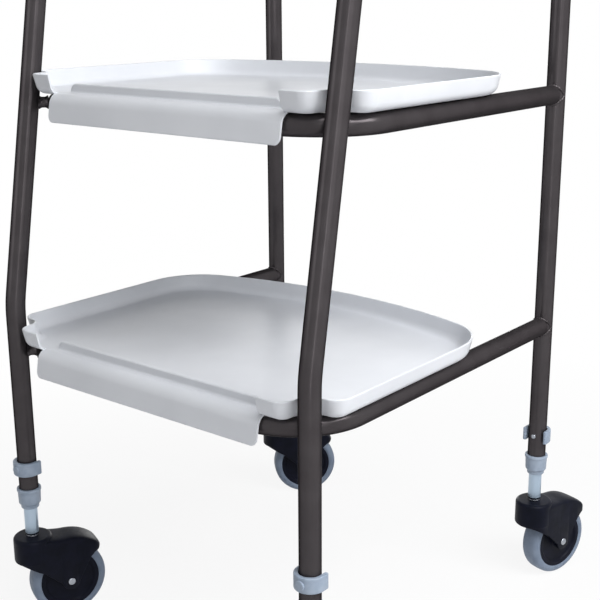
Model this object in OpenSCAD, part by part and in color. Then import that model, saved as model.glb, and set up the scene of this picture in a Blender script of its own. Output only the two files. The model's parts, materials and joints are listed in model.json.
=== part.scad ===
// Indoor walker trolley: a frame of two bent side hoops and two tray rails,
// two lift-off trays and four height-adjustable castor legs.
// +Z is up, +Y is the way it is pushed, the user stands at -Y, and the castors touch z = 0.

/* [Frame] */
// Outside diameter of the frame tube
tube_d = 22.2; // [20:0.1:24]
// Wall of the frame tube
tube_wall = 1.5; // [1:0.1:2]
// Distance between the left and right leg axes
leg_span_x = 427; // [405:1:445]
// Distance between the rear and front leg axes near the floor
leg_span_y = 461; // [440:1:490]
// Height of the lower end of the frame tubes
tube_end_z = 154; // [145:1:160]
// Height at which the rear legs would bend if the bend were sharp
lean_z = 398; // [390:1:420]
// Forward lean of the rear legs above that bend
lean_deg = 9.8; // [6:0.1:11]
// Radius of that bend
lean_bend_r = 150; // [100:1:180]
// Height of the top bar's axis
handle_z = 850; // [810:1:900]
// Bend radius at both ends of the top bar
handle_bend_r = 70; // [60:1:90]

/* [Rails] */
// Height of the lower rail's axis
lower_rail_z = 343; // [335:1:350]
// Height of the upper rail's axis above the lower one
rail_rise = 279; // [260:1:300]
// Bend radius of the rails behind the rear legs
rail_bend_r = 77; // [65:1:85]
// Diameter of the stubs that join rails and rear legs
stub_d = 12; // [10:0.5:14]

/* [Grips] */
// Outside diameter of a hand grip
grip_d = 32; // [28:0.5:36]
// Length of a hand grip
grip_len = 130; // [110:1:150]
// Diameter of the collar at each end of a grip
grip_collar_d = 36; // [34:0.5:40]
// Length of that collar
grip_collar_len = 5; // [3:0.5:8]
// Gap from the rear bend of the top bar to the grip
grip_set = 25; // [10:1:60]

/* [Trays] */
// How far a tray's rim reaches out past the leg axes
tray_overhang = 19.5; // [18:0.5:24]
// Rear edge of the rim, measured from the front bar's axis
tray_back = 337; // [320:1:360]
// How far the rim reaches ahead of the front bar's axis
rim_front = 15; // [15:0.5:18]
// Height of the rim above the tray's underside
rim_h = 21.6; // [18:0.2:26]
// Thickness of the tray's plastic
sheet = 2.5; // [2:0.1:3]
// How far the wall leans in from rim to floor
wall_draft = 8.5; // [6:0.5:9]
// Chamfer at the foot of the wall
foot_chamfer = 3.5; // [2:0.5:4]
// Fillet between wall and floor inside the tray
floor_fillet = 3.5; // [2:0.5:4]
// Radius of the rear corners
rear_corner_r = 75; // [60:1:90]
// Radius of the bowed rear edge
rear_bow_r = 600; // [500:10:900]
// Width of the lip that hooks over the front bar
lip_w = 323; // [312:1:326]
// Drop of the lip's apron below the bar's axis
lip_drop = 17.5; // [14:0.5:22]
// Radius of the apron's lower corners
apron_corner_r = 8; // [5:0.5:10]
// Place of the curb's outer face behind the bar's axis
curb_y = 5; // [4:0.5:8]
// Thickness of the curb at its top
curb_top_t = 5; // [4:0.5:7]
// Run of the curb's inner slope
curb_slope = 6; // [4:0.5:9]
// Height of the curb above the tray's floor
curb_h = 9.5; // [8:0.5:12]
// Length of the curb
curb_len = 294; // [280:1:300]
// Radius of the curb's upper corners
curb_corner_r = 6; // [4:0.5:7]

/* [Legs] */
// Outside diameter of the extension tube
ext_d = 16; // [15:0.1:17]
// Wall of the extension tube
ext_wall = 1.5; // [1:0.1:2]
// Travel of the leg adjustment
adjust_travel = 125; // [100:1:130]
// Height of the clip and its pin
clip_z = 199.5; // [195:0.5:205]
// Outside diameter of the ferrule
ferrule_d = 27.2; // [26.6:0.1:30]
// Height of the ferrule
ferrule_h = 23; // [20:0.5:26]
// Height of the ferrule's stepped-in foot
ferrule_foot_h = 4; // [3:0.5:6]
// Length of the ferrule's sleeve inside the frame tube
sleeve_len = 20; // [15:1:22]
// Length of the guide collar at the extension's top
guide_len = 18; // [14:1:22]

/* [Clips] */
// Wall of the clip's open ring
clip_wall = 4.8; // [3.5:0.1:5.5]
// Height of the clip
clip_h = 16.5; // [13:0.5:18]
// How far the clip's arms reach past the leg's axis
clip_arm = 9; // [5:0.5:10]
// Diameter of the clip's pin
pin_d = 6; // [5:0.1:7]

/* [Castors] */
// Diameter of a wheel
wheel_d = 92; // [85:1:100]
// Width of the tyre
tyre_w = 26; // [24:0.5:28]
// Diameter of the hub under the tyre
hub_d = 72; // [66:1:76]
// Shoulder radius of the tyre
shoulder_r = 6; // [4:0.5:8]
// Distance from the swivel axis to the axle
trail = 39.3; // [35:0.1:42]
// Height of the castor's boss above the top of the wheel
castor_crown = 18; // [16:0.5:22]
// Diameter of the boss
boss_d = 46; // [42:1:50]
// Height of the boss
boss_h = 32; // [28:1:36]
// Rise of the hood over the wheel
hood_rise = 14; // [10:0.5:15]
// Width over the hood's cheeks
hood_w = 37; // [35:0.5:40]
// Height of the hood's tail tip above the axle
tail_rise = 34; // [28:1:38]
// Radius of the cheek's end around the axle
cheek_end_r = 11; // [9:0.5:13]
// Diameter of the castor's stem
stem_d = 10; // [9:0.1:11]
// Diameter of the axle
axle_d = 7; // [6:0.1:8]
// Diameter of the axle's heads
axle_head_d = 9; // [8.5:0.1:10]
// Swivel angle of the rear right castor at rest
swivel_rear_right_deg = 62; // [-180:1:180]
// Swivel angle of the rear left castor at rest
swivel_rear_left_deg = 67; // [-180:1:180]
// Swivel angle of the front right castor at rest
swivel_front_right_deg = 74; // [-180:1:180]
// Swivel angle of the front left castor at rest
swivel_front_left_deg = 48; // [-180:1:180]

/* [Hidden] */
$fn = 64;

// Clearances
rest_gap = 0.3;      // between pieces of different bodies that lie on each other
run_gap = 0.05;      // radial, on pieces that slide or turn in each other
leg_gap = 3;         // between a tray's rim and a rear leg
wheel_gap = 3.5;     // between the tyre's tread and the hood
cheek_gap = 1.5;     // between the tyre and each cheek
saddle_gap = 0.15;   // between a rail's end and the leg it is welded to
overrun = 1;         // how far a cut runs past what it cuts

// Small sizes
weld_wall = 0.8;
weld_len = 6;
weld_bite = 0.3;
land = 4;            // plastic or metal left beyond a slot or bore
spigot_len = 14;
plug_len = 30;
plug_flange_h = 2.2;
ring_h = 3;          // snap ring on the castor's stem
ring_wall = 1;
axle_head_h = 1.2;
hub_boss_d = 18;
hub_inset = 1;       // how far the hub's faces lie inside the tyre's
tail_undercut = 6;
lip_flat = 10;       // floor of the lip behind the curb
seam = 1;            // how far the shapes of one piece run into each other
hair = 0.2;          // step left where two shapes of one piece would otherwise just meet
arc_steps = 12;      // steps along each arc of the floor's outline

// Place of the frame's origin, seen from the middle of the four legs
origin_x = 15.53;
origin_y = 33.26;

// Derived sizes
tube_r = tube_d / 2;
tube_in_r = tube_r - tube_wall;
ext_r = ext_d / 2;
ext_in_r = ext_r - ext_wall;
leg_x = leg_span_x / 2;
rear_y = -leg_span_y / 2;
front_y = leg_span_y / 2;
upper_rail_z = lower_rail_z + rail_rise;
pin_r = pin_d / 2;

// Legs: index, side and swivel of each
rear_right = 0;
rear_left = 1;
front_right = 2;
front_left = 3;
side_x = [1, -1, 1, -1];
side_y = [-1, -1, 1, 1];
swivel = [swivel_rear_right_deg, swivel_rear_left_deg, swivel_front_right_deg, swivel_front_left_deg];

// Side hoop, in its own plane of depth and height
lean_start_z = lean_z - lean_bend_r * tan(lean_deg / 2);
lean_bend_c = [rear_y + lean_bend_r, lean_start_z];
lean_foot = lean_bend_c + lean_bend_r * [-cos(lean_deg), sin(lean_deg)];
top_bend_z = handle_z - handle_bend_r;
lean_top_z = top_bend_z + handle_bend_r * sin(lean_deg);
lean_len = (lean_top_z - lean_foot[1]) / cos(lean_deg);
lean_way = [sin(lean_deg), cos(lean_deg)];
lean_top = lean_foot + lean_len * lean_way;
top_bend_y = lean_top[0] + handle_bend_r * cos(lean_deg);
front_bend_y = front_y - handle_bend_r;

// Depth of the rear legs' axis at a height above the bend
function rear_leg_y(z) = z < lean_z ? rear_y : rear_y + (z - lean_z) * tan(lean_deg);

// Rails
stub_gap = (sqrt(2) - 1) * rail_bend_r - tube_d;
lower_bar_y = rear_leg_y(lower_rail_z);
upper_bar_y = rear_leg_y(upper_rail_z);

// Tray, seen from the front bar's axis
floor_z = tube_r + rest_gap;
floor_top = floor_z + sheet;
rim_z = floor_z + rim_h;
half_w = leg_x + tray_overhang;
// Each front corner is a nose, then a notch round the leaning leg, then an ear beside the leg
notch_y = rim_z * tan(lean_deg) / 2;
notch_r = tube_r + leg_gap + notch_y;
notch = [leg_x, notch_y];
nose_r = rim_front + notch_y;
nose = notch - [notch_r + nose_r, 0];
ear = notch + [0, notch_r + tray_overhang];
notch_seam_deg = asin(seam / notch_r);
bow_y = tray_back - rear_bow_r;
rear_corner_x = half_w - rear_corner_r;
bow_inner_r = rear_bow_r - rear_corner_r;
bow_deg = asin(rear_corner_x / bow_inner_r);
bow_wall_deg = bow_deg + asin(seam / rear_bow_r);
rear_corner = [rear_corner_x, bow_y + bow_inner_r * cos(bow_deg)];
foot_in = wall_draft + foot_chamfer;
floor_in = wall_draft + sheet + floor_fillet;
floor_edge_in = (foot_in + floor_in) / 2;
lip_end = lip_w / 2;
rim_end = lip_end - seam;
return_len = nose[0] - rim_end;
lip_depth = curb_y + curb_top_t + curb_slope + lip_flat;

// Legs and castors
axle_z = wheel_d / 2;
castor_top = wheel_d + castor_crown;
neck_z = castor_top + rest_gap;
ext_bottom = neck_z + 2 * plug_flange_h;
slot_r = wheel_d / 2 + wheel_gap;
slot_w = tyre_w + 2 * cheek_gap;
stem_r = stem_d / 2;
stem_bottom = axle_z + sqrt(max(0, slot_r^2 - (trail - stem_r)^2)) + land;
stem_foot = stem_bottom + rest_gap;
stem_top = ext_bottom + plug_len;
ring_z = (stem_bottom + castor_top) / 2;
slot_top = clip_z + adjust_travel + pin_r + rest_gap;
ext_top = slot_top + land + spigot_len;
hood_r = wheel_d / 2 + hood_rise;
ferrule_z = tube_end_z - ferrule_foot_h;

// Colours, as seen
frame_colour = [0.27, 0.25, 0.25];
tray_colour = [0.90, 0.91, 0.94];
fitting_colour = [0.58, 0.62, 0.69];
inner_colour = [0.66, 0.74, 0.82];
castor_colour = [0.11, 0.11, 0.15];
tyre_colour = [0.46, 0.51, 0.58];
steel_colour = [0.80, 0.80, 0.82];
grip_colour = [0.15, 0.15, 0.16];

// Placing

module in_frame() translate([-origin_x, -origin_y, 0]) children();

// Takes a drawing in depth and height to the plane at one x
module in_side_plane(x) translate([x, 0, 0]) rotate([90, 0, 90]) children();

module at_leg(i) in_frame() translate([side_x[i] * leg_x, side_y[i] * front_y, 0]) children();

// Turns +Y outward, away from the middle of the walker
module facing_out(i) rotate([0, 0, side_y[i] > 0 ? 0 : 180]) children();

// Takes +X to the way the castor trails
module at_castor(i) at_leg(i) rotate([0, 0, swivel[i]]) children();

module at_axle(i) at_castor(i) translate([trail, 0, axle_z]) rotate([90, 0, 0]) children();

// Tube shapes, drawn in a plane

module ring(r_out, r_in) {
    difference() {
        circle(r = r_out);
        circle(r = r_in);
    }
}

module run(start, heading, length, r_out, r_in) {
    translate([start[0], start[1], 0])
        rotate([0, 0, heading])
            rotate([0, 90, 0])
                linear_extrude(length) ring(r_out, r_in);
}

module bend(centre, from, turn, bend_r, r_out, r_in) {
    translate([centre[0], centre[1], 0])
        rotate_extrude(angle = turn, start = from)
            translate([bend_r, 0]) ring(r_out, r_in);
}

module rod(start, heading, length, r) {
    translate([start[0], start[1], 0])
        rotate([0, 0, heading])
            rotate([0, 90, 0])
                cylinder(r = r, h = length);
}

module elbow(centre, from, turn, bend_r, r) {
    translate([centre[0], centre[1], 0])
        rotate_extrude(angle = turn, start = from)
            translate([bend_r, 0]) circle(r = r);
}

// Side hoops

// The straight runs reach into the bends, which are drawn a hair wider
module hoop_path(r, below) {
    elbow_r = r + hair;
    top_run = front_bend_y - top_bend_y;
    rod([rear_y, tube_end_z - below], 90, lean_start_z - tube_end_z + below + seam, r);
    elbow(lean_bend_c, 180 - lean_deg, lean_deg, lean_bend_r, elbow_r);
    rod(lean_foot - seam * lean_way, 90 - lean_deg, lean_len + 2 * seam, r);
    elbow([top_bend_y, top_bend_z], 90, 90 - lean_deg, handle_bend_r, elbow_r);
    rod([top_bend_y - seam, handle_z], 0, top_run + 2 * seam, r);
    elbow([front_bend_y, top_bend_z], 0, 90, handle_bend_r, elbow_r);
    rod([front_y, tube_end_z - below], 90, top_bend_z - tube_end_z + below + seam, r);
}

module hoop(side) {
    color(frame_colour) in_frame() difference() {
        in_side_plane(side * leg_x) hoop_path(tube_r, 0);
        in_side_plane(side * leg_x) hoop_path(tube_in_r, overrun);
        for (y = [rear_y, front_y])
            translate([side * leg_x, y, clip_z])
                rotate([90, 0, 0])
                    cylinder(r = pin_r + run_gap, h = tube_d + 2 * overrun, center = true);
    }
}

module right_hoop() hoop(1);
module left_hoop() hoop(-1);

// Rails: a U of tube, open towards the front legs

module rail(z, bar_y) {
    side_start = bar_y + rail_bend_r;
    bar_end = leg_x - rail_bend_r;
    color(frame_colour) in_frame() difference() {
        translate([0, 0, z]) {
            run([-bar_end, bar_y], 0, 2 * bar_end, tube_r, tube_in_r);
            bend([bar_end, side_start], -90, 90, rail_bend_r, tube_r, tube_in_r);
            bend([-bar_end, side_start], 180, 90, rail_bend_r, tube_r, tube_in_r);
            for (side = [1, -1])
                run([side * leg_x, side_start], 90, front_y - side_start, tube_r, tube_in_r);
        }
        for (side = [1, -1])
            translate([side * leg_x, front_y, z])
                cylinder(r = tube_r + saddle_gap, h = tube_d + 2 * overrun, center = true);
    }
}

module upper_rail() rail(upper_rail_z, upper_bar_y);
module lower_rail() rail(lower_rail_z, lower_bar_y);

module stubs(z, bar_y) {
    for (side = [1, -1])
        translate([side * leg_x, bar_y, z])
            rotate([0, 0, 90 + side * 45])
                rotate([0, 90, 0])
                    translate([0, 0, tube_r - weld_bite])
                        cylinder(d = stub_d, h = stub_gap + 2 * weld_bite);
}

module corner_stubs() {
    color(frame_colour) in_frame() {
        stubs(upper_rail_z, upper_bar_y);
        stubs(lower_rail_z, lower_bar_y);
    }
}

module rail_welds() {
    color(frame_colour) in_frame()
        for (z = [upper_rail_z, lower_rail_z], side = [1, -1])
            translate([0, 0, z]) difference() {
                run([side * leg_x, front_y - tube_r - weld_len / 2], 90, weld_len,
                    tube_r + weld_wall, tube_r - weld_bite);
                translate([side * leg_x, front_y, 0])
                    cylinder(r = tube_r - weld_bite, h = tube_d + 2 * overrun, center = true);
            }
}

// Hand grips on the top bars

module grip(side) {
    start_y = top_bend_y + grip_set;
    color(grip_colour) in_frame() in_side_plane(side * leg_x) {
        run([start_y, handle_z], 0, grip_len, grip_d / 2, tube_r);
        for (y = [start_y, start_y + grip_len - grip_collar_len])
            run([y, handle_z], 0, grip_collar_len, grip_collar_d / 2, tube_r);
    }
}

module right_grip() grip(1);
module left_grip() grip(-1);

// Trays, drawn from the front bar's axis

// Rim wall: x runs outward from the rim's outer edge, y is height
module wall_section() {
    polygon([
        [0, rim_z],
        [-sheet, rim_z],
        [-wall_draft - sheet, floor_top + floor_fillet],
        [-floor_in, floor_top],
        [-floor_in, floor_z],
        [-foot_in, floor_z],
        [-wall_draft, floor_z + foot_chamfer]
    ]);
}

module wall_arc(centre, from, turn, r) {
    translate([centre[0], centre[1], 0])
        rotate_extrude(angle = turn, start = from)
            translate([r, 0]) wall_section();
}

// A straight wall whose outer edge starts at a point and runs along a heading, with the tray on its left
module wall_run(start, heading, length) {
    translate([start[0], start[1], 0])
        rotate([0, 0, heading])
            rotate([90, 0, 90]) linear_extrude(length) mirror([1, 0]) wall_section();
}

// The corners are drawn a hair wider, and the walls between them reach into them
module half_rim() {
    side_len = rear_corner[1] - ear[1];
    wall_run([rim_end, -rim_front], 0, return_len + seam);
    wall_arc(nose, -90, 90, nose_r + hair);
    translate([notch[0], notch[1], 0])
        rotate_extrude(angle = 90 + 2 * notch_seam_deg, start = 90 - notch_seam_deg)
            translate([notch_r, 0]) mirror([1, 0]) wall_section();
    wall_arc(ear, -90, 90, tray_overhang + hair);
    wall_run([half_w, ear[1] - seam], 90, side_len + 2 * seam);
    wall_arc(rear_corner, 0, 90 - bow_deg, rear_corner_r + hair);
}

// Points along an arc from one angle to another
function arc_points(centre, r, from, to) =
    [for (k = [0:arc_steps]) let (a = from + (to - from) * k / arc_steps) centre + r * [cos(a), sin(a)]];

// Right half of the floor's outline, drawn in from the rim's outer edge
function floor_half(inset) = concat(
    arc_points(nose, nose_r - inset, -90, 0),
    arc_points(notch, notch_r + inset, 180, 90),
    arc_points(ear, tray_overhang - inset, -90, 0),
    arc_points(rear_corner, rear_corner_r - inset, 0, 90 - bow_deg),
    arc_points([0, bow_y], rear_bow_r - inset, 90 - bow_deg, 90)
);

module floor_outline(inset) {
    right = floor_half(inset);
    last = len(right) - 1;
    polygon(concat(right, [for (k = [1:last]) [-right[last - k][0], right[last - k][1]]]));
}

// Lip: x is depth from the bar's axis, y is height
module lip_section() {
    apron_top = [-cos(lean_deg), sin(lean_deg)];
    apron_run = (lip_drop + floor_z * sin(lean_deg)) / cos(lean_deg);
    apron_foot = apron_run * [-sin(lean_deg), -cos(lean_deg)];
    intersection() {
        ring(floor_top, floor_z);
        polygon([
            [seam, -seam],
            floor_top * 2 * apron_top - [0, 2 * seam],
            [-floor_top, floor_top * 2],
            [seam, floor_top * 2]
        ]);
    }
    polygon([
        (floor_top - hair) * apron_top,
        (floor_z + hair) * apron_top,
        (floor_z + hair) * apron_top + apron_foot,
        (floor_top - hair) * apron_top + apron_foot
    ]);
    translate([0, floor_z + 2 * hair]) square([lip_depth, sheet - 2 * hair]);
}

// Curb: x is depth from the bar's axis, y is height
module curb_section() {
    polygon([
        [curb_y, floor_top - seam],
        [curb_y, floor_top + curb_h],
        [curb_y + curb_top_t, floor_top + curb_h],
        [curb_y + curb_top_t + curb_slope, floor_top],
        [curb_y + curb_top_t + curb_slope, floor_top - seam]
    ]);
}

// Curb seen from the front: x is along the lip, y is height
module curb_front() {
    corner_x = curb_len / 2 - curb_corner_r;
    corner_z = floor_top + curb_h - curb_corner_r;
    translate([-corner_x, 0]) square([2 * corner_x, floor_top + curb_h + overrun]);
    translate([-curb_len / 2, 0]) square([curb_len, corner_z]);
    for (side = [1, -1]) translate([side * corner_x, corner_z]) circle(r = curb_corner_r);
}

module curb() {
    intersection() {
        translate([-curb_len / 2 - overrun, 0, 0])
            rotate([90, 0, 90]) linear_extrude(curb_len + 2 * overrun) curb_section();
        translate([0, lip_depth, 0]) rotate([90, 0, 0]) linear_extrude(lip_depth) curb_front();
    }
}

// What rounds off one lower corner of the apron: x is along the lip, y is height
module apron_corner() {
    reach = apron_corner_r + lip_drop;
    difference() {
        translate([lip_end - apron_corner_r, -reach]) square([reach, reach - lip_drop + apron_corner_r]);
        translate([lip_end - apron_corner_r, apron_corner_r - lip_drop]) circle(r = apron_corner_r);
    }
}

module lip() {
    difference() {
        translate([-lip_end, 0, 0]) rotate([90, 0, 90]) linear_extrude(lip_w) lip_section();
        for (side = [0, 1])
            mirror([side, 0, 0])
                translate([0, -floor_z * cos(lean_deg) + overrun, 0])
                    rotate([90, 0, 0]) linear_extrude(floor_top + lip_drop) apron_corner();
    }
}

module tray(z, bar_y) {
    color(tray_colour) in_frame() translate([0, bar_y, z]) {
        translate([0, 0, floor_z + hair]) linear_extrude(sheet - hair) floor_outline(floor_edge_in);
        half_rim();
        mirror([1, 0, 0]) half_rim();
        wall_arc([0, bow_y], 90 - bow_wall_deg, 2 * bow_wall_deg, rear_bow_r);
        lip();
        curb();
    }
}

module upper_tray() tray(upper_rail_z, upper_bar_y);
module lower_tray() tray(lower_rail_z, lower_bar_y);

// Leg fittings

module ferrule(i) {
    color(fitting_colour) at_leg(i) difference() {
        union() {
            translate([0, 0, tube_end_z - sheet])
                cylinder(d = ferrule_d, h = ferrule_h - ferrule_foot_h + sheet);
            translate([0, 0, ferrule_z]) cylinder(r = tube_r, h = ferrule_foot_h);
        }
        translate([0, 0, tube_end_z])
            linear_extrude(ferrule_h) ring(tube_r, tube_in_r);
        translate([0, 0, tube_end_z + sleeve_len]) cylinder(r = tube_in_r + overrun, h = ferrule_h);
        translate([0, 0, ferrule_z - overrun])
            cylinder(r = ext_r + run_gap, h = ferrule_foot_h + sleeve_len + 2 * overrun);
    }
}

module rear_right_ferrule() ferrule(rear_right);
module rear_left_ferrule() ferrule(rear_left);
module front_right_ferrule() ferrule(front_right);
module front_left_ferrule() ferrule(front_left);

module clip(i) {
    in_r = tube_r + rest_gap;
    out_r = in_r + clip_wall;
    color(fitting_colour) at_leg(i) facing_out(i) translate([0, 0, clip_z]) difference() {
        translate([0, 0, -clip_h / 2]) linear_extrude(clip_h) intersection() {
            difference() {
                union() {
                    circle(r = out_r);
                    translate([-out_r, -clip_arm]) square([2 * out_r, clip_arm]);
                }
                circle(r = in_r);
                translate([-in_r, -out_r]) square([2 * in_r, out_r]);
            }
            translate([-out_r, -clip_arm]) square([2 * out_r, clip_arm + out_r]);
        }
        rotate([-90, 0, 0]) cylinder(r = pin_r, h = out_r + overrun);
    }
}

module rear_right_clip() clip(rear_right);
module rear_left_clip() clip(rear_left);
module front_right_clip() clip(front_right);
module front_left_clip() clip(front_left);

module clip_pin(i) {
    back = tube_r + rest_gap + clip_wall;
    color(steel_colour) at_leg(i) facing_out(i)
        translate([0, back, clip_z]) rotate([90, 0, 0]) cylinder(r = pin_r, h = back + tube_r);
}

module rear_right_clip_pin() clip_pin(rear_right);
module rear_left_clip_pin() clip_pin(rear_left);
module front_right_clip_pin() clip_pin(front_right);
module front_left_clip_pin() clip_pin(front_left);

// Extension tube, with one long slot in place of a row of holes
module extension(i) {
    slot_half = pin_r + rest_gap;
    color(inner_colour) at_leg(i) difference() {
        translate([0, 0, ext_bottom]) linear_extrude(ext_top - ext_bottom) ring(ext_r, ext_in_r);
        rotate([90, 0, 0])
            translate([0, 0, -ext_r - overrun])
                linear_extrude(ext_d + 2 * overrun) {
                    translate([-slot_half, clip_z]) square([2 * slot_half, adjust_travel]);
                    for (y = [clip_z, clip_z + adjust_travel]) translate([0, y]) circle(r = slot_half);
                }
    }
}

module rear_right_extension() extension(rear_right);
module rear_left_extension() extension(rear_left);
module front_right_extension() extension(front_right);
module front_left_extension() extension(front_left);

module guide(i) {
    color(fitting_colour) at_leg(i) {
        translate([0, 0, ext_top - spigot_len]) cylinder(r = ext_in_r, h = spigot_len);
        translate([0, 0, ext_top]) cylinder(r = tube_in_r - run_gap, h = guide_len);
    }
}

module rear_right_guide() guide(rear_right);
module rear_left_guide() guide(rear_left);
module front_right_guide() guide(front_right);
module front_left_guide() guide(front_left);

// Plug that holds the castor's stem in the extension, with a narrower thrust washer below its flange
module plug(i) {
    color(castor_colour) at_leg(i) difference() {
        union() {
            translate([0, 0, ext_bottom]) cylinder(r = ext_in_r, h = plug_len);
            translate([0, 0, ext_bottom - plug_flange_h]) cylinder(r = ext_r, h = plug_flange_h);
            translate([0, 0, neck_z]) cylinder(r = ext_in_r, h = plug_flange_h);
        }
        translate([0, 0, neck_z - overrun]) cylinder(r = stem_r, h = stem_top - neck_z + overrun);
    }
}

module rear_right_plug() plug(rear_right);
module rear_left_plug() plug(rear_left);
module front_right_plug() plug(front_right);
module front_left_plug() plug(front_left);

module stem(i) {
    color(steel_colour) at_leg(i) {
        translate([0, 0, stem_foot]) cylinder(r = stem_r, h = stem_top - stem_foot);
        translate([0, 0, ring_z - ring_h / 2]) cylinder(r = stem_r + ring_wall, h = ring_h);
    }
}

module rear_right_stem() stem(rear_right);
module rear_left_stem() stem(rear_left);
module front_right_stem() stem(front_right);
module front_left_stem() stem(front_left);

// Hood seen from its side: x is the trail, y is height
module hood_side() {
    chin_z = castor_top - boss_h;
    boss_r = boss_d / 2;
    tail_z = axle_z + tail_rise;
    intersection() {
        union() {
            translate([trail, axle_z]) circle(r = hood_r);
            translate([0, chin_z]) square([trail, axle_z + hood_r - chin_z]);
        }
        polygon([
            [0, castor_top],
            [trail + hood_r, castor_top],
            [trail + hood_r, tail_z],
            [trail + hood_r - 2 * cheek_end_r, tail_z - tail_undercut],
            [trail + cheek_end_r, axle_z],
            [trail - cheek_end_r, axle_z],
            [-boss_r, chin_z]
        ]);
    }
    translate([trail, axle_z]) circle(r = cheek_end_r);
}

module fork(i) {
    boss_r = boss_d / 2;
    color(castor_colour) at_castor(i) difference() {
        union() {
            rotate([90, 0, 0]) translate([0, 0, -hood_w / 2]) linear_extrude(hood_w) hood_side();
            translate([0, 0, castor_top - boss_h]) cylinder(r = boss_r, h = boss_h);
        }
        translate([trail, 0, axle_z]) rotate([90, 0, 0]) {
            cylinder(r = slot_r, h = slot_w, center = true);
            cylinder(d = axle_d, h = hood_w + 2 * overrun, center = true);
        }
        translate([0, 0, stem_bottom])
            cylinder(r = stem_r + run_gap, h = castor_top - stem_bottom + overrun);
        translate([0, 0, ring_z - ring_h / 2 - run_gap])
            cylinder(r = stem_r + ring_wall + run_gap, h = ring_h + 2 * run_gap);
    }
}

module rear_right_fork() fork(rear_right);
module rear_left_fork() fork(rear_left);
module front_right_fork() fork(front_right);
module front_left_fork() fork(front_left);

module axle(i) {
    color(steel_colour) at_axle(i) {
        cylinder(d = axle_d, h = hood_w, center = true);
        for (side = [0, 1])
            mirror([0, 0, side])
                translate([0, 0, hood_w / 2]) cylinder(d = axle_head_d, h = axle_head_h);
    }
}

module rear_right_axle() axle(rear_right);
module rear_left_axle() axle(rear_left);
module front_right_axle() axle(front_right);
module front_left_axle() axle(front_left);

module hub(i) {
    color(castor_colour) at_axle(i) difference() {
        union() {
            cylinder(r = hub_d / 2 - rest_gap, h = tyre_w - 2 * hub_inset, center = true);
            cylinder(d = hub_boss_d, h = slot_w - 2 * rest_gap, center = true);
        }
        cylinder(r = axle_d / 2 + run_gap, h = slot_w + overrun, center = true);
    }
}

module rear_right_hub() hub(rear_right);
module rear_left_hub() hub(rear_left);
module front_right_hub() hub(front_right);
module front_left_hub() hub(front_left);

// Tyre: a band with round shoulders
module tyre(i) {
    tread = wheel_d / 2 - hub_d / 2;
    color(tyre_colour) at_axle(i) rotate_extrude() translate([hub_d / 2, 0]) intersection() {
        translate([0, -tyre_w / 2]) square([tread, tyre_w]);
        union() {
            translate([0, shoulder_r - tyre_w / 2]) square([tread, tyre_w - 2 * shoulder_r]);
            translate([0, -tyre_w / 2]) square([tread - shoulder_r, tyre_w]);
            for (side = [1, -1])
                translate([tread - shoulder_r, side * (tyre_w / 2 - shoulder_r)]) circle(r = shoulder_r);
        }
    }
}

module rear_right_tyre() tyre(rear_right);
module rear_left_tyre() tyre(rear_left);
module front_right_tyre() tyre(front_right);
module front_left_tyre() tyre(front_left);

// Drawing
right_hoop();
left_hoop();
upper_rail();
lower_rail();
corner_stubs();
rail_welds();
right_grip();
left_grip();
upper_tray();
lower_tray();
rear_right_ferrule();
rear_left_ferrule();
front_right_ferrule();
front_left_ferrule();
rear_right_clip();
rear_left_clip();
front_right_clip();
front_left_clip();
rear_right_clip_pin();
rear_left_clip_pin();
front_right_clip_pin();
front_left_clip_pin();
rear_right_extension();
rear_left_extension();
front_right_extension();
front_left_extension();
rear_right_guide();
rear_left_guide();
front_right_guide();
front_left_guide();
rear_right_plug();
rear_left_plug();
front_right_plug();
front_left_plug();
rear_right_stem();
rear_left_stem();
front_right_stem();
front_left_stem();
rear_right_fork();
rear_left_fork();
front_right_fork();
front_left_fork();
rear_right_axle();
rear_left_axle();
front_right_axle();
front_left_axle();
rear_right_hub();
rear_left_hub();
front_right_hub();
front_left_hub();
rear_right_tyre();
rear_left_tyre();
front_right_tyre();
front_left_tyre();
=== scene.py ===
import json
import math

import bmesh
import bpy
from mathutils import Matrix, Vector


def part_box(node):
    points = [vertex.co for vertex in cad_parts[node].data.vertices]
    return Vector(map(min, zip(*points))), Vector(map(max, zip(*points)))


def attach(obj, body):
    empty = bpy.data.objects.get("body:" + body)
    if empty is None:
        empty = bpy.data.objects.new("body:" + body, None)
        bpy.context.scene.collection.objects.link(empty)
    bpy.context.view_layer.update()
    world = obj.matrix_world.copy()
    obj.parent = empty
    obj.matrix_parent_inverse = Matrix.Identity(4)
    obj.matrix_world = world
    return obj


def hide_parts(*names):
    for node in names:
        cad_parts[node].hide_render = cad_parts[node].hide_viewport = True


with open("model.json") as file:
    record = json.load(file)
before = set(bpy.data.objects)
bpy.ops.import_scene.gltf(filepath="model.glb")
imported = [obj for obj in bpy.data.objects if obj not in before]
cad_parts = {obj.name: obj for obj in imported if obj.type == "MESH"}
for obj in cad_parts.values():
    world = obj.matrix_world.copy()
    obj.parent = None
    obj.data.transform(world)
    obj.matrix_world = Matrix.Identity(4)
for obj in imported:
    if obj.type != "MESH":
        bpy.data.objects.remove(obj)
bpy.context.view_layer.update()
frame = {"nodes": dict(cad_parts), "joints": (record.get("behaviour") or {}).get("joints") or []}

# Sizes in millimetres unless a name says otherwise
MM = 0.001
HAIR = 0.05
WELD = 1e-6  # metres

TUBE_R = 11.1
TUBE_IN_R = 9.6
TUBE_END_Z = 154
LEAN = math.radians(9.8)
LEAN_Z = 398
LEAN_BEND_R = 150
HANDLE_Z = 850
HANDLE_BEND_R = 70
RAIL_BEND_R = 77
STUB_R = 6
STUB_BITE = 0.3
STUB_FLARE = 1.6
BEAD_R = 1.7
BEAD_STEPS = 120

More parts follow.
